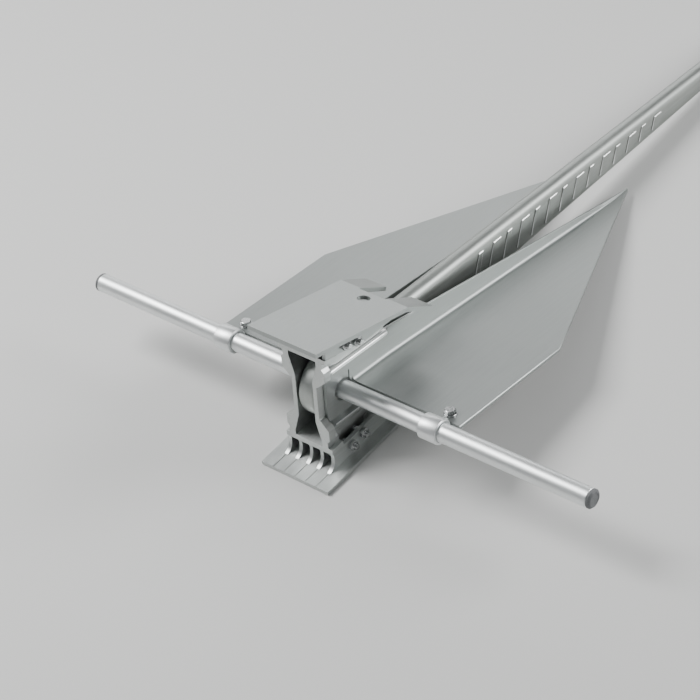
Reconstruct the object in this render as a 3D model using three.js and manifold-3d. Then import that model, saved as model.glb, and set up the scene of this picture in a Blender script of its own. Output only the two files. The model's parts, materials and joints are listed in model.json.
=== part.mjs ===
// Lightweight fluke anchor: two flukes and a crown with two palms turn on a long stock, and the
// shank swings between the crown's walls on the same stock. Millimetres, +Z up, lying on a floor.
import * as THREE from 'three';
import { mergeVertices } from 'three/addons/utils/BufferGeometryUtils.js';
import Module from 'manifold-3d';

const wasm = await Module();
wasm.setup();

// ---- driving dimensions, in the flukes' own frame: X along the stock, Y to the tips, Z up ----
const gap = 0.3;                    // clearance between pieces that touch
const round = 48;                   // sides of a large round
const smallRound = 24;              // sides of a small round

const stock = { radius: 9.5, half: 308, bore: 6.5, plugCap: 4, plugStem: 15 };
const shank = { half: 9.5, eye: 33, root: 31.5, end: 11.4, length: 740, nose: 14, hole: 6.5, edge: 4 };
const cheek = { half: 9, from: 712 };                 // thinned end of the shank, for a shackle
const wall = { inner: 10.7, outer: 15.4, front: -33, back: 62, straight: 18 };
const crown = { innerTop: 43.4, outerTop: 48.8, plateHalf: 29, flank: 24.2, waist: 20.5, throat: 17 };
const crownWindow = { front: 20, foot: 22 };          // lets the shank swing up and down
const crownRib = { centre: 17.7, half: 1.8, front: -34, back: 14, top: 61 };
const shoulder = { low: 32.8, half: 19, high: 33.4, plateHalf: 19.5 };     // crown behind its ears
const ear = { foot: 19, low: 28, high: 39, top: 44, reach: 26.5, head: 22, waist: 30 };
const palm = { half: 42, inner: 67.1, outer: 71.4, front: -69.2, back: 61.5, slot: 16 };
const palmHole = { u: 48.5, radius: 6.5 };
const ramp = { reach: 102.6, drop: 12.3, edge: 4 };
const fin = { spacing: 13.5, thick: 4, front: -41, back: 20, toe: 8.5, toeRise: 3.5 };
const outerFin = { back: 53.5, seat: 56 };            // the outer fins rise clear of the flanges
const groove = { half: 0.4, depth: 0.5 };
const fluke = { half: 2, front: 14.5, outer: 147.5, knuckle: 168, tipX: 33, tipY: 450 };
const flange = { inner: 15.7, front: -24, bend: 66, height: 32, corner: 6, bore: 12 };
const flangeThick = { web: 3.2, taperTop: 2.2, rim: 7.3 };
const flangeRim = { outer: 29, inner: 25.5 };         // height of the rim's outer side and of its foot
const slit = { front: 8.4, back: 10.2, height: 17 };  // saw cut above and below the stock
const palmBolt = { radius: 3, hole: 3.3, across: 10, head: 4, nut: 5, end: 37 };
const palmBolts = [{ name: 'front', u: -14, w: 57 }, { name: 'rear', u: 3, w: 55 }];
const clip = { centre: 128, length: 21, radius: 12.7, tab: 3, boltY: 25, tabEnd: 36 };
const cornerBolt = { radius: 3, hole: 3.3, across: 10, head: 3.6, nut: 5, stub: 3 };
const washer = { radius: 6.4, thick: 1.2 };

const palmTilt = THREE.MathUtils.degToRad(8.93);    // each palm's fall towards the tips
const restPitch = THREE.MathUtils.degToRad(8.25);   // flukes' plane below the horizontal
const restSwing = THREE.MathUtils.degToRad(3.75);   // shank above the flukes' plane

// ---- materials ----
function metal(name, color, roughness, metalness = 1) {
  return () => new THREE.MeshStandardMaterial({ name, color, roughness, metalness });
}
const satinAluminium = metal('satin_aluminium', 0xaeb4b2, 0.42);
const plateAluminium = metal('plate_aluminium', 0xa5aaa8, 0.5);
const brightAluminium = metal('bright_aluminium', 0xc3c8c6, 0.32);
const stainless = metal('stainless_steel', 0x8f9494, 0.3);
const plugPlastic = metal('grey_plastic', 0x55585a, 0.6, 0);

// ---- helpers ----
const X = new THREE.Vector3(1, 0, 0);
const Y = new THREE.Vector3(0, 1, 0);
const Z = new THREE.Vector3(0, 0, 1);

// a closed three.js geometry as a manifold solid
function solid(geometry) {
  const bare = geometry.index ? geometry.toNonIndexed() : geometry.clone();
  bare.deleteAttribute('normal');
  bare.deleteAttribute('uv');
  const merged = mergeVertices(bare, 1e-4);
  const vertProperties = new Float32Array(merged.attributes.position.array);
  const triVerts = new Uint32Array(merged.index.array);
  return new wasm.Manifold(new wasm.Mesh({ numProp: 3, vertProperties, triVerts }));
}

// a manifold solid as a three.js geometry
function geometryOf(manifold) {
  const mesh = manifold.getMesh();
  const geometry = new THREE.BufferGeometry();
  geometry.setAttribute('position', new THREE.BufferAttribute(new Float32Array(mesh.vertProperties), 3));
  geometry.setIndex(new THREE.BufferAttribute(new Uint32Array(mesh.triVerts), 1));
  geometry.computeVertexNormals();
  return geometry;
}

function outline(points) {
  return new THREE.Shape(points.map(([a, b]) => new THREE.Vector2(a, b)));
}

// an outline drawn in Y and Z, given a thickness from x0 to x1
function alongX(shape, x0, x1, bevel = 0) {
  const options = { depth: x1 - x0 - 2 * bevel, bevelEnabled: bevel > 0, curveSegments: 24 };
  if (bevel > 0) {
    Object.assign(options, { bevelThickness: bevel, bevelSize: bevel });
    Object.assign(options, { bevelOffset: -bevel, bevelSegments: 3 });
  }
  const geometry = new THREE.ExtrudeGeometry(shape, options);
  geometry.applyMatrix4(new THREE.Matrix4().makeBasis(Y, Z, X));
  geometry.translate(x0 + bevel, 0, 0);
  return geometry;
}

// an outline drawn in X and Z, running from y0 to y1
function alongY(shape, y0, y1) {
  const geometry = new THREE.ExtrudeGeometry(shape, { depth: y1 - y0, bevelEnabled: false });
  geometry.applyMatrix4(new THREE.Matrix4().makeBasis(X, Z, Y.clone().negate()));
  geometry.translate(0, y1, 0);
  return geometry;
}

// an outline drawn in X and Y, running from z0 to z1
function alongZ(shape, z0, z1) {
  const geometry = new THREE.ExtrudeGeometry(shape, { depth: z1 - z0, bevelEnabled: false });
  geometry.translate(0, 0, z0);
  return geometry;
}

function box(x0, x1, y0, y1, z0, z1) {
  const geometry = new THREE.BoxGeometry(x1 - x0, y1 - y0, z1 - z0);
  geometry.translate((x0 + x1) / 2, (y0 + y1) / 2, (z0 + z1) / 2);
  return geometry;
}

function rodX(radius, x0, x1, y = 0, z = 0, sides = round) {
  const geometry = new THREE.CylinderGeometry(radius, radius, x1 - x0, sides);
  geometry.rotateZ(Math.PI / 2);
  geometry.translate((x0 + x1) / 2, y, z);
  return geometry;
}

function rodY(radius, y0, y1, x, z, sides = smallRound) {
  const geometry = new THREE.CylinderGeometry(radius, radius, y1 - y0, sides);
  geometry.translate(x, (y0 + y1) / 2, z);
  return geometry;
}

function rodZ(radius, z0, z1, x = 0, y = 0, sides = smallRound) {
  const geometry = new THREE.CylinderGeometry(radius, radius, z1 - z0, sides);
  geometry.rotateX(Math.PI / 2);
  geometry.translate(x, y, (z0 + z1) / 2);
  return geometry;
}

// radius of the circle through the corners of a hexagon of this width across flats
function hexRadius(across) {
  return across / Math.sqrt(3);
}

function union(geometries) {
  return geometries.map(solid).reduce((sum, piece) => sum.add(piece));
}

function cut(body, geometries) {
  return geometries.map(solid).reduce((rest, tool) => rest.subtract(tool), body);
}

function mirrored(geometry, scaleX, scaleZ) {
  const copy = geometry.clone();
  copy.applyMatrix4(new THREE.Matrix4().makeScale(scaleX, 1, scaleZ));
  if (scaleX * scaleZ < 0) {
    const order = copy.index.array;
    for (let i = 0; i < order.length; i += 3) {
      [order[i], order[i + 1]] = [order[i + 1], order[i]];
    }
  }
  copy.computeVertexNormals();
  return copy;
}

function part(name, geometry, material) {
  const mesh = new THREE.Mesh(geometry, material());
  mesh.name = name;
  return mesh;
}

// ---- crown: one upper half, and the same half turned over, joined on the flukes' plane ----
function crownHalf() {
  const foot = -15;
  const outside = [
    [wall.outer, foot], [wall.outer, 30], [crown.waist, 33], [crown.flank, 38],
    [crown.flank, crown.innerTop], [crown.plateHalf, crown.innerTop], [crown.plateHalf, crown.outerTop],
  ];
  const inside = [
    [crown.throat, crown.innerTop], [crown.throat, 38], [wall.inner + 1.8, 24],
    [wall.inner, wall.straight], [wall.inner, foot],
  ];
  const mirror = (points) => points.map(([x, z]) => [-x, z]).reverse();
  const channel = outline([...outside, ...mirror(outside), ...mirror(inside), ...inside]);
  const ribs = [-crownRib.centre, crownRib.centre].map((x) =>
    box(x - crownRib.half, x + crownRib.half, crownRib.front, crownRib.back,
      crown.outerTop - 1, crownRib.top));
  const body = union([alongY(channel, -80, 90), ...ribs]);
  const cuts = palmBolts.map(({ u, w }) => rodX(palmBolt.hole, -40, 40, u, w, smallRound));
  cuts.push(box(shoulder.plateHalf, 60, flange.front - gap, 100, 20, 90));
  cuts.push(box(-60, -shoulder.plateHalf, flange.front - gap, 100, 20, 90));
  return cut(body, cuts).rotate([-THREE.MathUtils.radToDeg(palmTilt), 0, 0]);
}

// four ears close the front of the space that the flukes' flanges stand in
function crownEars() {
  const shape = outline([
    [wall.inner + 2, ear.foot], [wall.outer + 1, ear.foot], [ear.reach, ear.low],
    [ear.reach, ear.high], [ear.head, ear.top], [crown.throat + 1.5, ear.top],
    [wall.outer - 1, ear.waist], [wall.inner + 2, wall.straight + 5],
  ]);
  const one = mergeVertices(alongY(shape, wall.front, flange.front - gap));
  return [-1, 1].flatMap((side) => [-1, 1].map((level) => solid(mirrored(one, side, level))));
}

function crownBody() {
  const upper = crownHalf();
  const length = solid(box(-60, 60, wall.front, wall.back, -90, 90));
  const whole = upper.add(upper.mirror([0, 0, 1])).intersect(length);
  const seat = flange.height + gap;
  const face = wall.outer - 0.001;
  const cleared = cut(whole, [
    box(face, 60, wall.front - 1, 90, -seat, seat),
    box(-60, -face, wall.front - 1, 90, -seat, seat),
    box(-crown.throat, crown.throat, crownWindow.front, 90, crownWindow.foot, 90),
    box(-crown.throat, crown.throat, crownWindow.front, 90, -90, -crownWindow.foot),
  ]);
  const below = outline([
    [wall.outer, seat - 1], [wall.outer + 2, shoulder.low], [shoulder.half, shoulder.high],
    [shoulder.half, shoulder.high + 4], [60, shoulder.high + 4], [60, seat - 1],
  ]);
  const relief = mergeVertices(alongY(below, flange.front - gap, 90));
  const reliefs = [-1, 1].flatMap((side) => [-1, 1].map((level) => mirrored(relief, side, level)));
  const eared = crownEars().reduce((sum, piece) => sum.add(piece), cut(cleared, reliefs));
  return cut(eared, [rodX(stock.radius + gap, -60, 60)]);
}

// ---- palm: a plate on five fins, in the tilted frame: u along the plate, w away from the stock ----
function palmFin(x, isOuter) {
  const half = fin.thick / 2;
  const shape = new THREE.Shape();
  const seat = crown.outerTop + gap;
  const toe = fin.front - fin.toe;
  shape.moveTo(fin.back, seat);
  if (isOuter) {
    shape.lineTo(outerFin.back, outerFin.seat);
  }
  shape.lineTo(isOuter ? outerFin.back : fin.back, palm.inner + 1);
  shape.lineTo(toe, palm.inner + 1);
  shape.lineTo(toe, palm.inner - 0.4);
  shape.quadraticCurveTo(fin.front + 2.5, palm.inner - fin.toeRise, fin.front + 1, seat);
  return alongX(shape, x - half, x + half);
}

function upperPalm() {
  const side = outline([
    [palm.front, palm.inner], [palm.back, palm.inner],
    [ramp.reach - 1.2, palm.outer - ramp.drop - ramp.edge], [ramp.reach, palm.outer - ramp.drop],
    [palm.back + 2.2, palm.outer], [palm.front, palm.outer],
  ]);
  const middle = outline([
    [palm.front, palm.inner], [palm.back - 6, palm.inner], [palm.back, palm.outer - 1],
    [palm.back, palm.outer], [palm.front, palm.outer],
  ]);
  const pieces = [
    alongX(side, palm.slot, palm.half),
    alongX(side, -palm.half, -palm.slot),
    alongX(middle, -palm.slot, palm.slot),
  ];
  const cuts = palmBolts.map(({ u, w }) => rodX(palmBolt.hole, -60, 60, u, w, smallRound));
  cuts.push(rodZ(palmHole.radius, palm.inner - 10, palm.outer + 10, 0, palmHole.u, round));
  for (let i = -2; i <= 2; i += 1) {
    const x = i * fin.spacing;
    pieces.push(palmFin(x, Math.abs(i) === 2));
    cuts.push(box(x - groove.half, x + groove.half, palm.front - 1, fin.front - fin.toe,
      palm.inner - 1, palm.inner + groove.depth));
  }
  return cut(union(pieces), cuts).rotate([-THREE.MathUtils.radToDeg(palmTilt), 0, 0]);
}

// ---- fluke: a flat pointed plate with an upright flange along its inner edge ----

// a thin web with a thick rim along its upper and lower edges
function rimmedBlade(shape) {
  const outside = [
    [flangeThick.web, flangeRim.inner], [flangeThick.rim, flangeRim.outer], [flangeThick.rim, 60],
  ];
  const mirror = (points) => points.map(([x, z]) => [x, -z]).reverse();
  const section = outline([...outside, [-1, 60], [-1, -60], ...mirror(outside)]);
  return solid(alongX(shape, 0, flangeThick.rim)).intersect(solid(alongY(section, -200, 200)));
}

// a blade that is thickest on the flukes' plane and thins to its upper and lower edges
function thinnedBlade(shape) {
  const blade = solid(alongX(shape, 0, flangeThick.web));
  const shaving = box(0, 40, -200, 700, -60, 120);
  shaving.rotateY(-Math.atan((flangeThick.web - flangeThick.taperTop) / flange.height));
  shaving.translate(flangeThick.web, 0, 0);
  const upper = solid(shaving).intersect(solid(box(-1, 60, -200, 700, 0, 200)));
  return blade.subtract(upper).subtract(upper.mirror([0, 0, 1]));
}

function rightFluke() {
  const h = flange.height;
  const front = flange.front - flange.bend;
  const shape = new THREE.Shape();
  shape.moveTo(0.5, -h);
  shape.lineTo(0.5, h);
  shape.lineTo(front + flange.corner, h);
  shape.quadraticCurveTo(front, h, front, h - flange.corner);
  shape.lineTo(front, flange.corner - h);
  shape.quadraticCurveTo(front, -h, front + flange.corner, -h);
  const root = rimmedBlade(shape).translate([flange.inner, flange.bend, 0]);
  const run = fluke.tipY - flange.bend;
  const sweep = Math.atan((fluke.tipX - flange.inner) / run);
  const tapered = thinnedBlade(outline([[0, -h], [run, -0.3], [run, 0.3], [0, h]]))
    .rotate([0, 0, -THREE.MathUtils.radToDeg(sweep)])
    .translate([flange.inner, flange.bend, 0]);
  const plan = outline([
    [flange.inner + 1, fluke.front], [fluke.outer, fluke.front], [fluke.outer + 1.5, fluke.knuckle],
    [fluke.tipX + 1, fluke.tipY], [fluke.tipX, fluke.tipY - 2], [flange.inner + 1, flange.bend],
  ]);
  const plate = solid(alongZ(plan, -fluke.half, fluke.half));
  return cut(plate.add(root).add(tapered), [
    rodX(flange.bore, 0, 60),
    box(0, 60, slit.front, slit.back, 0, slit.height),
    box(0, 60, slit.front, slit.back, -slit.height, 0),
    rodZ(cornerBolt.hole, -10, 10, clip.centre, clip.boltY),
  ]);
}

// ---- stock clip: a ring round the stock with a tab under the fluke's corner ----
function stockClip() {
  const x0 = clip.centre - clip.length / 2;
  const x1 = clip.centre + clip.length / 2;
  const tabTop = -fluke.half - gap;
  const body = union([
    rodX(clip.radius, x0, x1),
    box(x0 + 1, x1 - 1, 0, clip.tabEnd, tabTop - clip.tab, tabTop),
  ]);
  return cut(body, [
    rodX(stock.radius + gap, x0 - 5, x1 + 5),
    rodZ(cornerBolt.hole, -40, 40, clip.centre, clip.boltY),
  ]);
}

function cornerFasteners(side, label) {
  const x = side * clip.centre;
  const y = clip.boltY;
  const hex = hexRadius(cornerBolt.across);
  const washerBottom = fluke.half + gap;
  const headBottom = washerBottom + washer.thick + gap;
  const nutTop = -fluke.half - clip.tab - 2 * gap;
  const bolt = union([
    rodZ(hex, headBottom, headBottom + cornerBolt.head, x, y, 6),
    rodZ(cornerBolt.radius, nutTop - cornerBolt.nut - cornerBolt.stub, headBottom + 1, x, y),
  ]);
  const ring = cut(solid(rodZ(washer.radius, washerBottom, washerBottom + washer.thick, x, y)),
    [rodZ(cornerBolt.hole, 0, 20, x, y)]);
  const nut = cut(solid(rodZ(hex, nutTop - cornerBolt.nut, nutTop, x, y, 6)),
    [rodZ(cornerBolt.hole, -40, 0, x, y)]);
  return [
    part(`${label}_clip_bolt`, geometryOf(bolt), stainless),
    part(`${label}_clip_washer`, geometryOf(ring), stainless),
    part(`${label}_clip_nut`, geometryOf(nut), stainless),
  ];
}

function palmFasteners(level, label) {
  const tilt = new THREE.Matrix4().makeRotationX(-palmTilt);
  const outerFace = 2 * fin.spacing + fin.thick / 2 + gap;
  const hex = hexRadius(palmBolt.across);
  const pieces = [];
  for (const { name, u, w } of palmBolts) {
    const bolt = union([
      rodX(palmBolt.radius, -outerFace - 1, palmBolt.end, u, w, smallRound),
      rodX(hex, -outerFace - palmBolt.head, -outerFace, u, w, 6),
    ]);
    const nut = cut(solid(rodX(hex, outerFace, outerFace + palmBolt.nut, u, w, 6)),
      [rodX(palmBolt.hole, 0, 60, u, w, smallRound)]);
    for (const [kind, body] of [['bolt', bolt], ['nut', nut]]) {
      const geometry = geometryOf(body);
      geometry.applyMatrix4(tilt);
      pieces.push(part(`${label}_palm_${name}_${kind}`, mirrored(geometry, 1, level), stainless));
    }
  }
  return pieces;
}

// ---- stock: a tube with a chamfered plug in each end ----
function stockTube() {
  const end = stock.half - stock.plugCap - gap;
  return cut(solid(rodX(stock.radius, -end, end)), [rodX(stock.bore, -end - 5, end + 5)]);
}

function stockPlug() {
  const cap = stock.half - stock.plugCap;
  const profile = [
    [0, cap - stock.plugStem], [stock.bore - gap, cap - stock.plugStem], [stock.bore - gap, cap],
    [stock.radius, cap], [stock.radius, stock.half - 2], [stock.radius - 2, stock.half], [0, stock.half],
  ].map(([r, x]) => new THREE.Vector2(r, x));
  const geometry = new THREE.LatheGeometry(profile, round);
  geometry.rotateZ(-Math.PI / 2);
  return solid(geometry);
}

// ---- shank: a tapered bar, round at the stock's eye and at the shackle's end ----
function shankBar() {
  const taper = Math.atan((shank.root - shank.end) / shank.length);
  const shape = new THREE.Shape();
  const nose = Math.PI / 2 - taper;
  const throat = shank.length - 24;
  const depthAt = (y) => shank.root - y * Math.tan(taper);
  shape.absarc(0, 0, shank.eye, Math.PI / 2 - 0.25, -Math.PI / 2 + 0.25, false);
  shape.lineTo(40, -depthAt(40));
  shape.lineTo(throat, -depthAt(throat));
  shape.absarc(shank.length, 0, shank.nose, -nose - 0.55, nose + 0.55, false);
  shape.lineTo(throat, depthAt(throat));
  shape.lineTo(40, depthAt(40));
  const bar = solid(alongX(shape, -shank.half, shank.half, shank.edge));
  return cut(bar, [
    rodX(stock.radius + gap, -20, 20),
    rodX(shank.hole, -20, 20, shank.length, 0, smallRound),
    box(cheek.half, 20, cheek.from, 800, -40, 40),
    box(-20, -cheek.half, cheek.from, 800, -40, 40),
  ]);
}

// ---- assembly ----
const flukes = new THREE.Group();
const crownPiece = geometryOf(crownBody());
const palmPiece = geometryOf(upperPalm());
const flukePiece = geometryOf(rightFluke());
const clipPiece = geometryOf(stockClip());
const plugPiece = geometryOf(stockPlug());
flukes.add(
  part('crown', crownPiece, brightAluminium),
  part('upper_palm', palmPiece, plateAluminium),
  part('lower_palm', mirrored(palmPiece, 1, -1), plateAluminium),
  part('right_fluke', flukePiece, plateAluminium),
  part('left_fluke', mirrored(flukePiece, -1, 1), plateAluminium),
  part('stock_tube', geometryOf(stockTube()), satinAluminium),
  part('right_stock_plug', plugPiece, plugPlastic),
  part('left_stock_plug', mirrored(plugPiece, -1, 1), plugPlastic),
  part('right_stock_clip', clipPiece, satinAluminium),
  part('left_stock_clip', mirrored(clipPiece, -1, 1), satinAluminium),
  ...cornerFasteners(1, 'right'),
  ...cornerFasteners(-1, 'left'),
  ...palmFasteners(1, 'upper'),
  ...palmFasteners(-1, 'lower'),
);
const shankPiece = part('shank', geometryOf(shankBar()), satinAluminium);
shankPiece.rotation.x = restSwing;
flukes.add(shankPiece);
flukes.rotation.x = -restPitch;

const anchor = new THREE.Group();
anchor.add(flukes);
anchor.updateMatrixWorld(true);
const bounds = new THREE.Box3().setFromObject(anchor, true);
const middle = bounds.getCenter(new THREE.Vector3());
flukes.position.set(-middle.x, -middle.y, -bounds.min.z);

export default anchor;
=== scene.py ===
import json
import math

import bpy
import bmesh
from mathutils import Matrix, Vector


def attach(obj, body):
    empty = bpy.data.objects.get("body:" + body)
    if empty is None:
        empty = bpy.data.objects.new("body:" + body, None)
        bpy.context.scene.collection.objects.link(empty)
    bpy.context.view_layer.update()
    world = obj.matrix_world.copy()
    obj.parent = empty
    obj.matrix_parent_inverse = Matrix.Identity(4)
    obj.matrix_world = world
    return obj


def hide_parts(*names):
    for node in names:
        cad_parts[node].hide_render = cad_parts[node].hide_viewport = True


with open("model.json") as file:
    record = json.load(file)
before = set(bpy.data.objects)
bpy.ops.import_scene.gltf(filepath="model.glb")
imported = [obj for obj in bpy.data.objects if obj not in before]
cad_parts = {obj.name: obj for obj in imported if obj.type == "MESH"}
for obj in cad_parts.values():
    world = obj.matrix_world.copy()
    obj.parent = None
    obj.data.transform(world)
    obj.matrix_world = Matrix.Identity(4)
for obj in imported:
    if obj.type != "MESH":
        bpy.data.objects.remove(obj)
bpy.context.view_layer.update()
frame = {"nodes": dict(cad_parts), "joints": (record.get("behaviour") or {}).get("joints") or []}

# ---------------------------------------------------------------- frames and shared sizes
# Each piece is drawn in millimetres in its own frame, then put into the row frame in metres.
# The flukes' frame has X along the stock, Y to the tips and its origin on the stock's axis.

MM = 0.001
PIVOT = Vector(frame["joints"][0]["pos_m"])
REST_PITCH = math.radians(8.25)     # the flukes' plane falls this much towards the tips
PALM_TILT = math.radians(8.93)      # each palm's fall towards the tips, from the flukes' plane
REST_SWING = math.radians(3.75)     # the shank above the flukes' plane
FLUKE_POSE = Matrix.Translation(PIVOT) @ Matrix.Rotation(-REST_PITCH, 4, "X")
FLUKE_FRAME = FLUKE_POSE @ Matrix.Scale(MM, 4)
SHANK_FRAME = FLUKE_FRAME @ Matrix.Rotation(REST_SWING, 4, "X")
PALM_FRAME = {
    "upper": FLUKE_FRAME @ Matrix.Rotation(-PALM_TILT, 4, "X"),
    "lower": FLUKE_FRAME @ Matrix.Scale(-1, 4, (0, 0, 1)) @ Matrix.Rotation(-PALM_TILT, 4, "X"),
}
ALONG_X = Matrix.Rotation(math.radians(90), 4, "Y")     # stands a piece drawn along Z along X
UPSIDE_DOWN = Matrix.Rotation(math.pi, 4, "X")          # turns a fastener over

STOCK_RADIUS, STOCK_BORE, STOCK_HALF = 9.5, 6.5, 308
PLUG_CAP, PLUG_STEM = 4, 15                 # a plug's length outside the tube and inside it
CLIP_CENTRE, CLIP_LENGTH, CLIP_RADIUS = 128, 21, 12.7
CLIP_TAB, CLIP_TAB_END, CLIP_BOLT_Y = 3, 36, 25
PLATE_HALF = 2                              # half the flukes' thickness
GAP = 0.3                                   # left between pieces, so that none touch
BOLT_RADIUS, BOLT_HOLE, THREAD_PITCH = 3, 3.3, 1.0
HEX_ACROSS, NUT_HEIGHT = 10, 5
FINE_SIDES, SIDES, BOLT_SIDES = 128, 96, 72     # facets round the stock, other round pieces, bolts
HOLE_SIDES, ROD_SIDES, SHACKLE_SIDES = 48, 48, 64
THROUGH = 20                                # a cutter's reach, each side of the middle


# ---------------------------------------------------------------- camera

def add_camera():
    """Looks at the crown from the front right and above, in the flukes' own frame."""
    azimuth, elevation, roll = math.radians(42.72), math.radians(34.61), math.radians(-4.48)
    distance, aim_right, aim_up = 2.156, 0.0208, 0.0304
    sensor_width, focal_length, far_clip = 36, 116.7, 50
    back = Vector((math.sin(azimuth) * math.cos(elevation),
                   -math.cos(azimuth) * math.cos(elevation), math.sin(elevation)))
    right = Vector((math.cos(azimuth), math.sin(azimuth), 0))
    up = back.cross(right)
    right, up = (right * math.cos(roll) + up * math.sin(roll),
                 up * math.cos(roll) - right * math.sin(roll))
    pose = Matrix((right, up, back)).transposed().to_4x4()
    pose.translation = back * distance + right * aim_right + up * aim_up
    data = bpy.data.cameras.new("camera")
    data.sensor_width = sensor_width
    data.lens = focal_length
    data.clip_end = far_clip
    camera = bpy.data.objects.new("camera", data)
    camera.matrix_world = FLUKE_POSE @ pose
    bpy.context.collection.objects.link(camera)
    bpy.context.scene.camera = camera


# ---------------------------------------------------------------- floor and light

FLOOR_SIZE, FLOOR_DROP = 14, 0.0005
FLOOR_COLOUR, FLOOR_ROUGHNESS = (0.66, 0.66, 0.65, 1), 0.9
STUDIO_COLOUR, STUDIO_STRENGTH = (0.78, 0.82, 0.84, 1), 0.24
SOFTBOXES = (       # name, position, target, width and height in metres, watts
    ("overhead_softbox", (-1.35, -0.8, 1.95), (0, -0.2, 0), (1.1, 1.1), 72),
    ("back_softbox", (-1.6, 2.2, 1.1), (0, 0, 0), (2.0, 0.9), 18),
    ("right_back_softbox", (1.9, 1.3, 1.25), (0.1, -0.1, 0.05), (1.3, 1.3), 62),
)


def add_floor():
    bpy.ops.mesh.primitive_plane_add(size=FLOOR_SIZE, location=(0, 0, -FLOOR_DROP))
    floor = bpy.context.object
    floor.name = "floor"
    material = bpy.data.materials.new("floor_paint")
    material.use_nodes = True
    shader = material.node_tree.nodes["Principled BSDF"]
    shader.inputs["Base Color"].default_value = FLOOR_COLOUR
    shader.inputs["Roughness"].default_value = FLOOR_ROUGHNESS
    floor.data.materials.append(material)


def add_softbox(name, position, target, size, power):
    """A soft rectangular lamp that faces its target."""
    data = bpy.data.lights.new(name, "AREA")
    data.shape = "RECTANGLE"
    data.size, data.size_y = size
    data.energy = power
    light = bpy.data.objects.new(name, data)
    light.location = position
    direction = Vector(target) - Vector(position)
    light.rotation_euler = direction.to_track_quat("-Z", "Y").to_euler()
    bpy.context.collection.objects.link(light)


def add_lights():
    world = bpy.data.worlds.new("studio")
    world.use_nodes = True
    background = world.node_tree.nodes["Background"]
    background.inputs["Color"].default_value = STUDIO_COLOUR
    background.inputs["Strength"].default_value = STUDIO_STRENGTH
    bpy.context.scene.world = world
    for softbox in SOFTBOXES:
        add_softbox(*softbox)


# ---------------------------------------------------------------- materials

NOISE_LOW, NOISE_HIGH = 0.3, 0.7    # nearly all of a noise lies between these
CLOUD_SCALE, DRAWN_SCALE, ETCHED_SCALE = 14, 6, 900
CLOUD_SHARE = 0.3                   # of the colour's variation; the drawn lines give the rest
DRAWN_ROUGHNESS = 0.05              # how far the drawn lines move the roughness, either way
CLOUD_ROUGHNESS = (-0.012, 0.015)   # how far the cloudy patches move it
DRAWN_BUMP, ETCHED_BUMP = (0.0004, 0.12), (0.0002, 0.08)    # distance in metres, strength
FLUKE_LINES, BAR_LINES, STOCK_LINES = (60, 3, 60), (80, 2, 80), (2, 80, 80)
FLUKE_TURN = (REST_PITCH, 0, 0)
SHANK_TURN = (REST_PITCH - REST_SWING, 0, 0)
STOCK_TURN = (0, 0, 0)


class Nodes:
    """Short names for building one material's node tree."""

    def __init__(self, name):
        self.material = bpy.data.materials.new(name)
        self.material.use_nodes = True
        self.tree = self.material.node_tree
        self.shader = self.tree.nodes["Principled BSDF"]

    def link(self, source, target):
        self.tree.links.new(source, target)

    def set(self, socket, value):
        self.shader.inputs[socket].default_value = value

    def drive(self, socket, source):
        """Lets a node set one of the shader's inputs."""
        self.link(source, self.shader.inputs[socket])

    def noise(self, scale, stretch=(1, 1, 1), turn=(0, 0, 0), detail=4, roughness=0.55):
        place = self.tree.nodes.new("ShaderNodeTexCoord")
        turner = self.tree.nodes.new("ShaderNodeMapping")
        turner.inputs["Rotation"].default_value = turn
        self.link(place.outputs["Object"], turner.inputs["Vector"])
        stretcher = self.tree.nodes.new("ShaderNodeMapping")
        stretcher.inputs["Scale"].default_value = stretch
        self.link(turner.outputs["Vector"], stretcher.inputs["Vector"])
        noise = self.tree.nodes.new("ShaderNodeTexNoise")
        noise.inputs["Scale"].default_value = scale
        noise.inputs["Detail"].default_value = detail
        noise.inputs["Roughness"].default_value = roughness
        self.link(stretcher.outputs["Vector"], noise.inputs["Vector"])
        return noise.outputs["Fac"]

    def between(self, noise, low, high):
        """A number that runs from low to high as the noise rises."""
        node = self.tree.nodes.new("ShaderNodeMapRange")
        node.inputs["From Min"].default_value = NOISE_LOW
        node.inputs["From Max"].default_value = NOISE_HIGH
        node.inputs["To Min"].default_value = low
        node.inputs["To Max"].default_value = high
        self.link(noise, node.inputs["Value"])
        return node.outputs["Result"]

    def colour(self, noise, dark, light):
        """The surface's colour, from dark to light as the noise rises."""
        node = self.tree.nodes.new("ShaderNodeValToRGB")
        stops = ((NOISE_LOW, dark), (NOISE_HIGH, light))
        for element, (place, tone) in zip(node.color_ramp.elements, stops):
            element.position = place
            element.color = (*tone, 1)
        self.link(noise, node.inputs["Fac"])
        self.drive("Base Color", node.outputs["Color"])

    def combine(self, operation, a, b):
        """Two sockets, or a socket and a number, added or multiplied."""
        node = self.tree.nodes.new("ShaderNodeMath")
        node.operation = operation
        for socket, value in zip(node.inputs, (a, b)):
            if isinstance(value, (int, float)):
                socket.default_value = value
            else:
                self.link(value, socket)
        return node.outputs["Value"]

    def bump(self, *heights):
        """Bumps from (height socket, distance in metres, strength), one over the other."""
        normal = None
        for height, distance, strength in heights:
            node = self.tree.nodes.new("ShaderNodeBump")
            node.inputs["Distance"].default_value = distance
            node.inputs["Strength"].default_value = strength
            self.link(height, node.inputs["Height"])
            if normal is not None:
                self.link(normal, node.inputs["Normal"])
            normal = node.outputs["Normal"]
        self.drive("Normal", normal)


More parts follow.
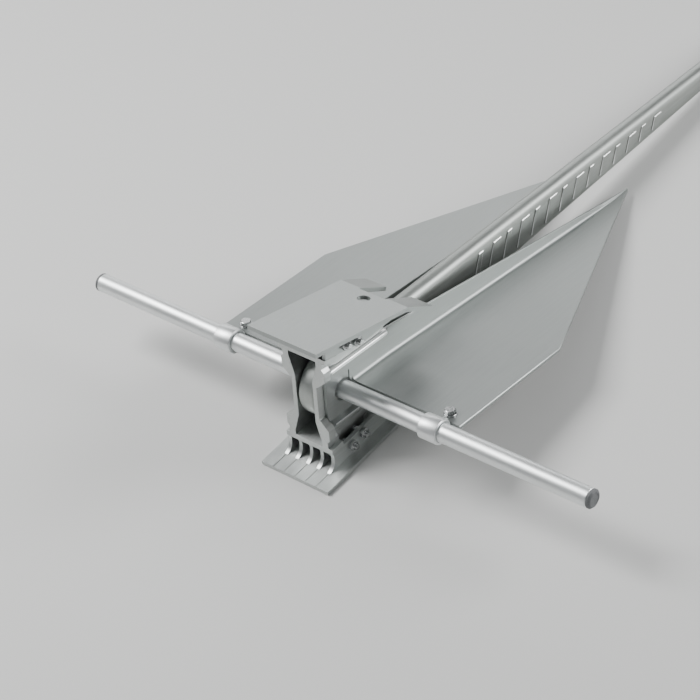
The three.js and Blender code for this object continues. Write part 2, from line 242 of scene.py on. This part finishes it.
def aluminium(name, dark, light, roughness, lines, turn):
    """Anodised aluminium: drawn lines along one axis, a fine etched grain and soft patches."""
    n = Nodes(name)
    n.set("Metallic", 1)
    cloud = n.noise(CLOUD_SCALE, turn=turn, detail=3)
    drawn = n.noise(DRAWN_SCALE, stretch=lines, turn=turn, detail=6, roughness=0.7)
    etched = n.noise(ETCHED_SCALE, turn=turn, detail=2)
    mixed = n.combine("ADD", n.combine("MULTIPLY", cloud, CLOUD_SHARE),
                      n.combine("MULTIPLY", drawn, 1 - CLOUD_SHARE))
    n.colour(mixed, dark, light)
    smoother, rougher = CLOUD_ROUGHNESS
    n.drive("Roughness", n.combine("ADD", n.between(drawn, -DRAWN_ROUGHNESS, DRAWN_ROUGHNESS),
                                   n.between(cloud, roughness + smoother, roughness + rougher)))
    n.bump((drawn, *DRAWN_BUMP), (etched, *ETCHED_BUMP))
    return n.material


def pale_edge_and_highlight():
    """The paler metal of cut and rubbed edges, made paler still as a painted highlight where edges
    catch the light.
    """
    n = Nodes("pale_edge_and_highlight_metal")
    n.set("Metallic", 0.6)
    n.set("Roughness", 0.3)
    n.colour(n.noise(220), (0.84, 0.86, 0.85), (0.95, 0.96, 0.95))
    return n.material


def stainless_steel():
    n = Nodes("stainless_steel")
    n.set("Metallic", 1)
    tone = n.noise(160)
    n.colour(tone, (0.42, 0.43, 0.43), (0.56, 0.57, 0.57))
    n.drive("Roughness", n.between(tone, 0.18, 0.32))
    return n.material


def grey_plastic():
    n = Nodes("grey_plastic")
    tone = n.noise(400, detail=3)
    n.colour(tone, (0.11, 0.115, 0.12), (0.15, 0.155, 0.16))
    n.set("Roughness", 0.55)
    n.bump((tone, 0.0002, 0.2))
    return n.material


FLUKE_METAL = aluminium("plate_aluminium", (0.34, 0.36, 0.355), (0.42, 0.44, 0.43), 0.45,
                        FLUKE_LINES, FLUKE_TURN)
# the upper palm's darker tone is painted shade, against the lower palm's paler crown tone
PALM_METAL = aluminium("palm_aluminium", (0.35, 0.37, 0.365), (0.43, 0.45, 0.44), 0.42,
                       FLUKE_LINES, FLUKE_TURN)
CROWN_METAL = aluminium("crown_aluminium", (0.48, 0.50, 0.49), (0.60, 0.62, 0.61), 0.44,
                        FLUKE_LINES, FLUKE_TURN)
SHANK_METAL = aluminium("satin_aluminium", (0.37, 0.39, 0.375), (0.47, 0.49, 0.47), 0.46,
                        BAR_LINES, SHANK_TURN)
STOCK_METAL = aluminium("drawn_aluminium", (0.74, 0.76, 0.76), (0.86, 0.88, 0.88), 0.44,
                        STOCK_LINES, STOCK_TURN)
# pale edge material: paler cut metal together with a painted highlight
EDGE = pale_edge_and_highlight()
STEEL = stainless_steel()
PLASTIC = grey_plastic()


# ---------------------------------------------------------------- mesh helpers

def add_piece(name, mesh, place, materials, body, slot, *replaced):
    """Puts a mesh drawn in millimetres into the row frame and ties it to its body."""
    finishes = [face.material_index for face in mesh.polygons]
    built = bmesh.new()
    built.from_mesh(mesh)
    built.transform(place)
    bmesh.ops.recalc_face_normals(built, faces=built.faces)
    built.to_mesh(mesh)
    built.free()
    mesh.materials.clear()
    for material in materials:
        mesh.materials.append(material)
    for face, finish in zip(mesh.polygons, finishes):
        face.material_index = finish
    piece = bpy.data.objects.new(name, mesh)
    bpy.context.collection.objects.link(piece)
    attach(piece, body)
    if replaced:
        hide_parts(*replaced)


def lofted(rings, closed=False):
    """A mesh through rings of as many points each, with its ends capped or joined to each other."""
    built = bmesh.new()
    rows = [[built.verts.new(point) for point in ring] for ring in rings]
    pairs = list(zip(rows, rows[1:])) + ([(rows[-1], rows[0])] if closed else [])
    for low, high in pairs:
        for i in range(len(low)):
            j = (i + 1) % len(low)
            built.faces.new((low[i], low[j], high[j], high[i]))
    if not closed:
        built.faces.new(rows[0][::-1])
        built.faces.new(rows[-1])
    bmesh.ops.recalc_face_normals(built, faces=built.faces)
    mesh = bpy.data.meshes.new("lofted")
    built.to_mesh(mesh)
    built.free()
    return mesh


def turned(profile, sides=SIDES, closed=False):
    """A lathe shape round Z from (radius, height) points, each a number or a function of angle."""
    rings = []
    for radius, height in profile:
        ring = []
        for i in range(sides):
            angle = 2 * math.pi * i / sides
            r = radius(angle) if callable(radius) else radius
            z = height(angle) if callable(height) else height
            ring.append((r * math.cos(angle), r * math.sin(angle), z))
        rings.append(ring)
    return lofted(rings, closed)


def ease(value, start, end):
    """Runs smoothly from 0 to 1 as the value goes from start to end."""
    t = min(1.0, max(0.0, (value - start) / (end - start)))
    return t * t * (3 - 2 * t)


def arc(cx, cy, radius, start, end, steps):
    """Points of a round stretch, in degrees from start to end."""
    turns = [math.radians(start + (end - start) * i / steps) for i in range(steps + 1)]
    return [(cx + radius * math.cos(t), cy + radius * math.sin(t)) for t in turns]


def applied(mesh, *modifiers):
    """The mesh with modifiers worked into it. Each is (type, {setting: value})."""
    holder = bpy.data.objects.new("holder", mesh)
    bpy.context.collection.objects.link(holder)
    for kind, settings in modifiers:
        modifier = holder.modifiers.new(kind.lower(), kind)
        for key, value in settings.items():
            setattr(modifier, key, value)
    graph = bpy.context.evaluated_depsgraph_get()
    result = bpy.data.meshes.new_from_object(holder.evaluated_get(graph))
    bpy.data.objects.remove(holder)
    return result


def cut_by(mesh, tools, operation="DIFFERENCE"):
    """The mesh with each tool mesh cut from it, or joined to it."""
    for tool in tools:
        cutter = bpy.data.objects.new("cutter", tool)
        bpy.context.collection.objects.link(cutter)
        settings = {"object": cutter, "operation": operation, "solver": "EXACT"}
        mesh = applied(mesh, ("BOOLEAN", settings))
        bpy.data.objects.remove(cutter)
    return mesh


def rounded(mesh):
    """The mesh with its sharp edges rounded."""
    return applied(mesh, ("WELD", {"merge_threshold": 0.001}), ("BEVEL", {
        "width": 0.35, "segments": 2, "limit_method": "ANGLE",
        "angle_limit": math.radians(35), "harden_normals": True, "miter_outer": "MITER_ARC"}))


def smooth(mesh, angle=35):
    """Smooth shading, except across edges sharper than the angle."""
    built = bmesh.new()
    built.from_mesh(mesh)
    for face in built.faces:
        face.smooth = True
    for edge in built.edges:
        if len(edge.link_faces) == 2 and edge.calc_face_angle(0) > math.radians(angle):
            edge.smooth = False
    built.to_mesh(mesh)
    built.free()
    return mesh


def moved(mesh, matrix):
    mesh.transform(matrix)
    return mesh


def joined(meshes):
    """Several closed meshes as one mesh."""
    built = bmesh.new()
    for mesh in meshes:
        built.from_mesh(mesh)
    result = bpy.data.meshes.new("joined")
    built.to_mesh(result)
    built.free()
    return result


def block(x0, x1, y0, y1, z0, z1):
    """A box-shaped cutter."""
    ring = [(x0, y0), (x1, y0), (x1, y1), (x0, y1)]
    return lofted([[(x, y, z) for x, y in ring] for z in (z0, z1)])


def drill(radius, x0, x1, y=0, sides=SIDES):
    """A round cutter along X."""
    rod = turned([(radius, x0), (radius, x1)], sides)
    return moved(rod, Matrix.Translation((0, y, 0)) @ ALONG_X)


def bolt_drill(x, reach):
    """A round cutter along Z for the corner bolt, at a place along the stock."""
    rod = turned([(BOLT_HOLE, -reach), (BOLT_HOLE, reach)], HOLE_SIDES)
    return moved(rod, Matrix.Translation((x, CLIP_BOLT_Y, 0)))


# ---------------------------------------------------------------- kept CAD nodes

def finish_node(name, finish, width):
    """Gives a kept CAD node its material, and rounds its sharp edges by a width in millimetres."""
    node = frame["nodes"][name]
    node.data.materials.clear()
    node.data.materials.append(finish)
    node.data.materials.append(EDGE)
    weld = node.modifiers.new("weld", "WELD")
    weld.merge_threshold = 1e-5
    flatten = node.modifiers.new("flatten", "DECIMATE")
    flatten.decimate_type = "DISSOLVE"
    flatten.angle_limit = math.radians(0.5)
    bevel = node.modifiers.new("bevel", "BEVEL")
    bevel.width = width * MM
    bevel.segments = 2
    bevel.limit_method = "ANGLE"
    bevel.angle_limit = math.radians(35)
    bevel.harden_normals = True
    # the rounded edges take the pale edge material: paler cut metal and a painted highlight along
    # them
    bevel.material = 1


# ---------------------------------------------------------------- fasteners

HEX_RIM = HEX_ACROSS / 2 * 0.94             # the round rim where the corners are turned off
HEX_SLOPE = math.tan(math.radians(30))
COLLAR_RADIUS, COLLAR_HEIGHT = HEX_ACROSS / 2 * 0.8, 1.1    # a nut's plastic locking collar
THREAD_DEPTH, THREAD_STEPS = 0.3 * THREAD_PITCH, 8
PALM_BOLTS = (("front", -14, 57), ("rear", 3, 55))          # along the palm, and out from the stock


def hex_radius(angle):
    """The radius of a nut's or head's side at an angle."""
    turn = (angle + math.pi / 6) % (math.pi / 3) - math.pi / 6
    return HEX_ACROSS / 2 / math.cos(turn)


def hex_chamfer(angle):
    """The height that the turned-off corners lose at an angle."""
    return (hex_radius(angle) - HEX_RIM) * HEX_SLOPE


def bolt_head(bottom, top):
    """A hexagon whose top corners are turned off, with a barely raised middle."""
    profile = [(hex_radius, bottom), (hex_radius, lambda angle: top - hex_chamfer(angle)),
               (HEX_RIM, top), (HEX_RIM * 0.4, top + 0.01)]
    return turned(profile, BOLT_SIDES)


def nut_mesh(bottom, top):
    """A nut with both rims chamfered and a plastic locking collar standing out of its top."""
    body_top = top - COLLAR_HEIGHT
    lip, bore_lip = 0.3, 0.5
    profile = [
        (BOLT_HOLE, bottom), (HEX_RIM, bottom),
        (hex_radius, lambda angle: bottom + hex_chamfer(angle)),
        (hex_radius, lambda angle: body_top - hex_chamfer(angle)),
        (HEX_RIM, body_top), (COLLAR_RADIUS, body_top),
        (COLLAR_RADIUS, top - lip), (COLLAR_RADIUS - lip, top),
        (BOLT_HOLE + bore_lip, top), (BOLT_HOLE, top - bore_lip),
    ]
    return turned(profile, BOLT_SIDES, closed=True)


def threaded_rod(bottom, top):
    """A rod with a real screw thread and a chamfered end at the top."""
    steps = int((top - bottom) / THREAD_PITCH * THREAD_STEPS)
    chamfer, chamfer_slope = 0.6, 0.9
    profile = []
    for i in range(steps + 1):
        z = bottom + (top - bottom) * i / steps
        limit = BOLT_RADIUS - max(0.0, z - (top - chamfer)) * chamfer_slope

        def radius(angle, z=z, limit=limit):
            phase = (z / THREAD_PITCH - angle / (2 * math.pi)) % 1
            return min(limit, BOLT_RADIUS - THREAD_DEPTH * abs(2 * phase - 1))
        profile.append((radius, z))
    return turned(profile, ROD_SIDES)


def add_fastener(name, mesh, place):
    add_piece(f"{name}_fine", smooth(mesh, angle=25), place, (STEEL,), "flukes",
              "stainless_steel", name)


def add_corner_fasteners(side, label):
    """A bolt from above through the washer, the fluke's corner and the clip's tab, and its nut."""
    head, washer, washer_radius, washer_lip, stub, head_turn = 3.6, 1.2, 6.4, 0.25, 3, 12
    washer_bottom = PLATE_HALF + GAP
    washer_top = washer_bottom + washer
    head_bottom = washer_top + GAP
    nut_bottom = PLATE_HALF + CLIP_TAB + 2 * GAP        # measured downwards
    place = FLUKE_FRAME @ Matrix.Translation((side * CLIP_CENTRE, CLIP_BOLT_Y, 0))
    turn = Matrix.Rotation(math.radians(side * head_turn), 4, "Z")
    rod = threaded_rod(-head_bottom - 1, nut_bottom + NUT_HEIGHT + stub)
    bolt = joined([bolt_head(head_bottom, head_bottom + head), moved(rod, UPSIDE_DOWN)])
    add_fastener(f"{label}_clip_bolt", bolt, place @ turn)
    ring = turned([(BOLT_HOLE, washer_bottom), (washer_radius, washer_bottom),
                   (washer_radius, washer_top - washer_lip),
                   (washer_radius - washer_lip, washer_top), (BOLT_HOLE, washer_top)],
                  BOLT_SIDES, closed=True)
    add_fastener(f"{label}_clip_washer", ring, place)
    nut = moved(nut_mesh(nut_bottom, nut_bottom + NUT_HEIGHT), UPSIDE_DOWN)
    add_fastener(f"{label}_clip_nut", nut, place)


def add_palm_fasteners(level):
    """Two bolts across the palm's fins and the crown's ribs, with their nuts on the right."""
    head, outer_face, rod_end = 4, 29.3, 37
    for label, u, w in PALM_BOLTS:
        place = PALM_FRAME[level] @ Matrix.Translation((0, u, w)) @ ALONG_X
        turn = Matrix.Rotation(math.radians(10 + 3 * u), 4, "Z")    # the heads stop at odd angles
        rod = threaded_rod(-outer_face - 1, rod_end)
        cap = moved(bolt_head(outer_face, outer_face + head), UPSIDE_DOWN)
        add_fastener(f"{level}_palm_{label}_bolt", joined([rod, cap]), place @ turn)
        nut = nut_mesh(outer_face, outer_face + NUT_HEIGHT)
        add_fastener(f"{level}_palm_{label}_nut", nut, place)


# ---------------------------------------------------------------- stock, its plugs and clips

def add_stock():
    end = STOCK_HALF - PLUG_CAP - GAP
    lip = 0.4
    half = [(STOCK_BORE, end - lip), (STOCK_BORE + lip, end),
            (STOCK_RADIUS - lip, end), (STOCK_RADIUS, end - lip)]
    profile = half + [(r, -z) for r, z in half[::-1]]
    tube = smooth(turned(profile, FINE_SIDES, closed=True))
    add_piece("stock_tube_fine", tube, FLUKE_FRAME @ ALONG_X, (STOCK_METAL,), "flukes",
              "satin_aluminium", "stock_tube")


def add_plug(side, label):
    """A moulded plug: a chamfered, slightly dished cap on a stem with three grooves."""
    cap = STOCK_HALF - PLUG_CAP
    root = cap - PLUG_STEM
    stem = STOCK_BORE - GAP
    grooves, groove_start, groove_pitch, groove_depth = 3, 3, 3.5, 0.5
    profile = [(stem - 1, root), (stem, root + 1)]
    for i in range(grooves):
        z = root + groove_start + groove_pitch * i
        profile += [(stem, z), (stem - groove_depth, z + 0.5),
                    (stem - groove_depth, z + 1.5), (stem, z + 2)]
    profile += [
        (stem, cap), (STOCK_RADIUS - 0.2, cap), (STOCK_RADIUS, cap + 0.2),
        (STOCK_RADIUS, STOCK_HALF - 2), (STOCK_RADIUS - 1.7, STOCK_HALF - 0.25),
        (STOCK_RADIUS - 2.2, STOCK_HALF), (STOCK_RADIUS - 3.2, STOCK_HALF),
        (STOCK_RADIUS - 3.8, STOCK_HALF - 0.5), (1, STOCK_HALF - 0.7),
    ]
    plug = smooth(turned(profile), angle=30)
    place = FLUKE_FRAME @ Matrix.Scale(side, 4, (1, 0, 0)) @ ALONG_X
    name = f"{label}_stock_plug"
    add_piece(f"{name}_fine", plug, place, (PLASTIC,), "flukes", "grey_plastic", name)


def add_clip(side, label):
    """A drawn ring round the stock, running out into a tab under the fluke's corner."""
    x0, x1 = -CLIP_LENGTH / 2, CLIP_LENGTH / 2
    core, lip, tab_inset = 8, 0.8, 1
    ring = turned([(core, x0), (CLIP_RADIUS - lip, x0), (CLIP_RADIUS, x0 + lip),
                   (CLIP_RADIUS, x1 - lip), (CLIP_RADIUS - lip, x1), (core, x1)])
    tab_top = -PLATE_HALF - GAP
    tab = block(x0 + tab_inset, x1 - tab_inset, 0, CLIP_TAB_END, tab_top - CLIP_TAB, tab_top)
    body = cut_by(moved(ring, ALONG_X), [tab], "UNION")
    body = cut_by(body, [drill(STOCK_RADIUS + GAP, -30, 30), bolt_drill(0, 40)])
    place = FLUKE_FRAME @ Matrix.Translation((side * CLIP_CENTRE, 0, 0))
    name = f"{label}_stock_clip"
    add_piece(f"{name}_fine", smooth(rounded(body)), place, (STOCK_METAL,), "flukes",
              "satin_aluminium", name)


# ---------------------------------------------------------------- flukes

FLUKE_FRONT, FLUKE_KNUCKLE, FLUKE_TIP_Y = 14.5, 168, 450        # the plate's run along Y
FLUKE_OUTER, FLUKE_SPREAD = 147.5, 1.5      # its outer edge at the front, and how much it opens
FLUKE_TIP_X, FLUKE_TIP_WIDTH = 33, 1.2
FLANGE_INNER, FLANGE_FRONT, FLANGE_BEND = 15.7, -24, 66         # thick rims end at the bend
FLANGE_HEIGHT, FLANGE_CORNER, FLANGE_TIP_HEIGHT = 32, 6, 0.3
FLANGE_WEB, FLANGE_RIM, FLANGE_TAPER_TOP = 3.2, 7.3, 2.2        # thicknesses
FLANGE_FILLET, FLANGE_LIP, RIM_NOSE = 5.0, 0.7, 2.6             # radii
RIM_UNDER, RIM_BESIDE = 0.74, 0.86          # where the rim starts and is full, up the flange
PLATE_LIP = 0.6
FLANGE_BORE, SLIT_FRONT, SLIT_BACK, SLIT_HEIGHT = 12, 8.4, 10.2, 17
FILLET_STEPS, NOSE_STEPS, LIP_STEPS = 8, 6, 3


def fluke_outer_edge(y):
    """How far the plate reaches from the middle at y: nearly straight, then back to the tip."""
    knuckle = FLUKE_OUTER + FLUKE_SPREAD
    if y < FLUKE_KNUCKLE:
        along = max(0.0, y - FLUKE_FRONT) / (FLUKE_KNUCKLE - FLUKE_FRONT)
        return FLUKE_OUTER + FLUKE_SPREAD * along
    back = (y - FLUKE_KNUCKLE) / (FLUKE_TIP_Y - FLUKE_KNUCKLE)
    return knuckle + back * (FLUKE_TIP_X + FLUKE_TIP_WIDTH - knuckle)


def fluke_section(y, with_plate):
    """Half of the fluke's section at y, from its outer edge round to the flange's inner face."""
    run = max(0.0, (y - FLANGE_BEND) / (FLUKE_TIP_Y - FLANGE_BEND))
    inner = FLANGE_INNER + run * (FLUKE_TIP_X - FLANGE_INNER)
    low = PLATE_HALF + FLANGE_TIP_HEIGHT
    rise = max(0.0, FLANGE_FRONT + FLANGE_CORNER - y)
    height = low + (1 - run) * (FLANGE_HEIGHT - low)
    height -= FLANGE_CORNER - math.sqrt(max(0.0, FLANGE_CORNER ** 2 - rise ** 2))
    outer = max(fluke_outer_edge(y), inner + 1)
    thick = min(1.0, (outer - inner) / (2 * FLANGE_RIM))
    web = FLANGE_WEB * thick
    room = min((height - PLATE_HALF) * 0.6, (outer - inner - web) * 0.5)
    fillet = max(0.05, min(FLANGE_FILLET, room))
    foot = PLATE_HALF + fillet
    rimmed = 1 - ease(y, FLANGE_BEND - 3, FLANGE_BEND + 3)

    def face(z, share):
        """The flange's outer face at a height, with a share of the rim's extra thickness."""
        plain = web + (FLANGE_TAPER_TOP * thick - web) * (1 - rimmed) * z / height
        return inner + plain + (FLANGE_RIM - plain) * rimmed * share

    under = foot + (height - foot) * RIM_UNDER
    beside = foot + (height - foot) * RIM_BESIDE
    crest = face(height, 1)
    lip = min(FLANGE_LIP, 0.4 * (crest - inner))
    nose = lip + (min(height - beside, RIM_NOSE) - lip) * rimmed
    if with_plate:
        side = [(outer, 0), (outer, PLATE_HALF - PLATE_LIP),
                (outer - PLATE_LIP * thick, PLATE_HALF)]
        side += arc(inner + web + fillet, foot, fillet, 270, 180, FILLET_STEPS)
    else:
        points = FILLET_STEPS + 4
        side = [(inner + web, foot * i / (points - 1)) for i in range(points)]
    rim = arc(crest - nose, height - nose, nose, 0, 90, NOSE_STEPS)
    rim += arc(inner + lip, height - lip, lip, 90, 180, LIP_STEPS)
    return side + [(face(under, 0), under), (face(beside, 1), beside)] + rim + [(inner, 0)]


def fluke_ring(y, with_plate):
    """The whole section at y, above and below the flukes' plane."""
    half = fluke_section(y, with_plate)
    lower = [(x, -z) for x, z in half[::-1][1:-1]]
    return [(x, y, z) for x, z in half + lower]


def fluke_mesh():
    """The right fluke: first the flange alone, then with the plate from its front to the tip."""
    corner_angles, bend_step, taper_steps, cutter_reach = range(0, 91, 15), 1.5, 12, 60
    corner = [FLANGE_FRONT + FLANGE_CORNER * (1 - math.cos(math.radians(a))) for a in corner_angles]
    bend = [FLANGE_BEND + bend_step * i for i in range(-2, 3)]
    taper = [FLUKE_KNUCKLE + (FLUKE_TIP_Y - FLUKE_KNUCKLE) * i / taper_steps
             for i in range(1, taper_steps + 1)]
    alone = corner + [-4, FLUKE_FRONT]
    with_plate = [FLUKE_FRONT, 30, 48] + bend + [100, 134, FLUKE_KNUCKLE] + taper
    rings = [fluke_ring(y, False) for y in alone] + [fluke_ring(y, True) for y in with_plate]
    body = smooth(lofted(rings), angle=40)
    tools = [
        drill(FLANGE_BORE, 0, cutter_reach),
        block(0, cutter_reach, SLIT_FRONT, SLIT_BACK, 0, SLIT_HEIGHT),
        block(0, cutter_reach, SLIT_FRONT, SLIT_BACK, -SLIT_HEIGHT, 0),
        bolt_drill(CLIP_CENTRE, THROUGH),
    ]
    mesh = rounded(cut_by(body, tools))
    rim_tops_pale_and_highlighted(mesh)
    return smooth(mesh)


def rim_tops_pale_and_highlighted(mesh):
    """The thick rims' rounded tops take the brighter second material: paler cut metal and a painted
    highlight along the rims.
    """
    rim_depth = 4.2
    for face in mesh.polygons:
        high = abs(face.center.z) > FLANGE_HEIGHT - rim_depth
        straight = FLANGE_FRONT + FLANGE_CORNER < face.center.y < FLANGE_BEND - 2
        if high and straight and face.center.x > FLANGE_INNER + 1:
            # the rim tops' paler colour is partly a painted highlight
            face.material_index = 1


def add_fluke(side, label):
    """The right fluke or its mirror image."""
    place = FLUKE_FRAME @ Matrix.Scale(side, 4, (1, 0, 0))
    name = f"{label}_fluke"
    add_piece(f"{name}_fine", fluke_mesh(), place, (FLUKE_METAL, EDGE), "flukes",
              "plate_aluminium", name)


# ---------------------------------------------------------------- shank

SHANK_HALF, EYE, SHANK_LENGTH, NOSE = 9.5, 33, 740, 14
SHANK_ROOT, SHANK_END = 31.5, 11.4          # half the depth at the stock and at the far end
CHEEK_HALF, CHEEK_FROM, SHACKLE_HOLE = 9, 712, 6.5
TAPER = math.atan((SHANK_ROOT - SHANK_END) / SHANK_LENGTH)
EDGE_RADIUS, EDGE_SWELL, EDGE_DROP = 3, 5.6, 4.4    # at the eye, more along the bar, less at the end
PAD_FIRST, PAD_PITCH, PAD_COUNT, PAD_HEIGHT = 212, 24.5, 14, 1.3
PAD_WIDE, PAD_NARROW, PAD_SLANT, PAD_CHAMFER = 13, 7.5, 0.42, 0.7


def shank_depth(s):
    """Half of the shank's depth at a distance from the stock."""
    return SHANK_ROOT - s * math.tan(TAPER)


def shank_outline():
    """The outline in length and depth: the upper edge from the nose to the eye, then the lower."""
    nose_end, nose_steps, eye_start, eye_steps = 118, 16, 76, 26     # degrees, facets
    near, far, steps = 40, SHANK_LENGTH - 24, 44
    upper = arc(SHANK_LENGTH, 0, NOSE, 0, nose_end, nose_steps)
    for i in range(steps + 1):
        s = far + (near - far) * i / steps
        upper.append((s, shank_depth(s)))
    upper += arc(0, 0, EYE, eye_start, 180, eye_steps)
    return upper + [(s, -t) for s, t in upper[::-1][1:-1]]


def edge_radius(s):
    """The bar's edges are rounder than those of its eye and its shackle end."""
    return EDGE_RADIUS + EDGE_SWELL * ease(s, 34, 110) - EDGE_DROP * ease(s, 650, 705)


def shank_rings():
    """Rings from one side face over the rounded edge to the other side face."""
    points = shank_outline()
    count = len(points)
    normals = []
    for i in range(count):
        a, b = points[i - 1], points[(i + 1) % count]
        along = Vector((b[0] - a[0], b[1] - a[1])).normalized()
        normals.append((along.y, -along.x))
    steps = 7
    half_ring = []
    for k in range(steps + 1):
        turn = math.pi / 2 * k / steps
        ring = []
        for (s, t), (ns, nt) in zip(points, normals):
            r = edge_radius(s)
            inset = r * (1 - math.sin(turn))
            ring.append((SHANK_HALF - r * (1 - math.cos(turn)), s - ns * inset, t - nt * inset))
        half_ring.append(ring)
    other = [[(-x, s, t) for x, s, t in ring] for ring in half_ring[::-1]]
    return half_ring + other


def shank_mesh():
    cheek_end, cheek_depth = 800, 40
    tools = [
        drill(STOCK_RADIUS + GAP, -THROUGH, THROUGH),
        drill(SHACKLE_HOLE, -THROUGH, THROUGH, SHANK_LENGTH, SHACKLE_SIDES),
        block(CHEEK_HALF, THROUGH, CHEEK_FROM, cheek_end, -cheek_depth, cheek_depth),
        block(-THROUGH, -CHEEK_HALF, CHEEK_FROM, cheek_end, -cheek_depth, cheek_depth),
    ]
    return smooth(cut_by(lofted(shank_rings()), tools), angle=30)


def raised_pad(side, index):
    """A slanted pad with a chamfered top, sunk a little into the shank's side face."""
    margin, sunk, side_height = 1.2, 0.3, PAD_HEIGHT - 0.6
    s = PAD_FIRST + index * PAD_PITCH
    width = PAD_WIDE if index % 2 else PAD_NARROW
    reach = shank_depth(s) - edge_radius(s) - margin
    lean = 2 * reach * PAD_SLANT
    corners = [(0, -reach), (width, -reach), (width + lean, reach), (lean, reach)]
    middle = sum(c[0] for c in corners) / 4
    levels = ((0, SHANK_HALF - sunk), (0, SHANK_HALF + side_height),
              (PAD_CHAMFER, SHANK_HALF + PAD_HEIGHT))
    rings = []
    for inset, x in levels:
        shrink_s, shrink_t = 1 - inset * 2 / width, 1 - inset / reach
        rings.append([(side * x, s + middle + (cs - middle) * shrink_s, ct * shrink_t)
                      for cs, ct in corners])
    return lofted(rings)


def raised_pads():
    """A row of plain slanted pads on each side of the shank, whose chamfers take the paler edge
    material: paler cut metal and a painted highlight.
    """
    mesh = joined([raised_pad(side, i) for side in (1, -1) for i in range(PAD_COUNT)])
    for face in mesh.polygons:
        chamfered = 0.1 < abs(face.normal.x) < 0.95
        # chamfer faces take the pale edge material, partly a painted highlight
        face.material_index = int(chamfered)
    return mesh


def add_shank():
    add_piece("shank_fine", shank_mesh(), SHANK_FRAME, (SHANK_METAL,), "shank",
              "satin_aluminium", "shank")
    add_piece("shank_pads", raised_pads(), SHANK_FRAME, (SHANK_METAL, EDGE), "shank",
              "satin_aluminium")


# ---------------------------------------------------------------- the anchor

add_camera()
add_floor()
add_lights()
finish_node("crown", CROWN_METAL, 0.6)
finish_node("upper_palm", PALM_METAL, 0.9)
# the lower palm is the upper palm's mirror image; its paler crown tone is painted light, and the
# upper palm's darker tone painted shade
finish_node("lower_palm", CROWN_METAL, 0.9)
for sign, side_name in ((1, "right"), (-1, "left")):
    add_fluke(sign, side_name)
add_shank()
add_stock()
for sign, side_name in ((1, "right"), (-1, "left")):
    add_plug(sign, side_name)
    add_clip(sign, side_name)
    add_corner_fasteners(sign, side_name)
for level_name in ("upper", "lower"):
    add_palm_fasteners(level_name)
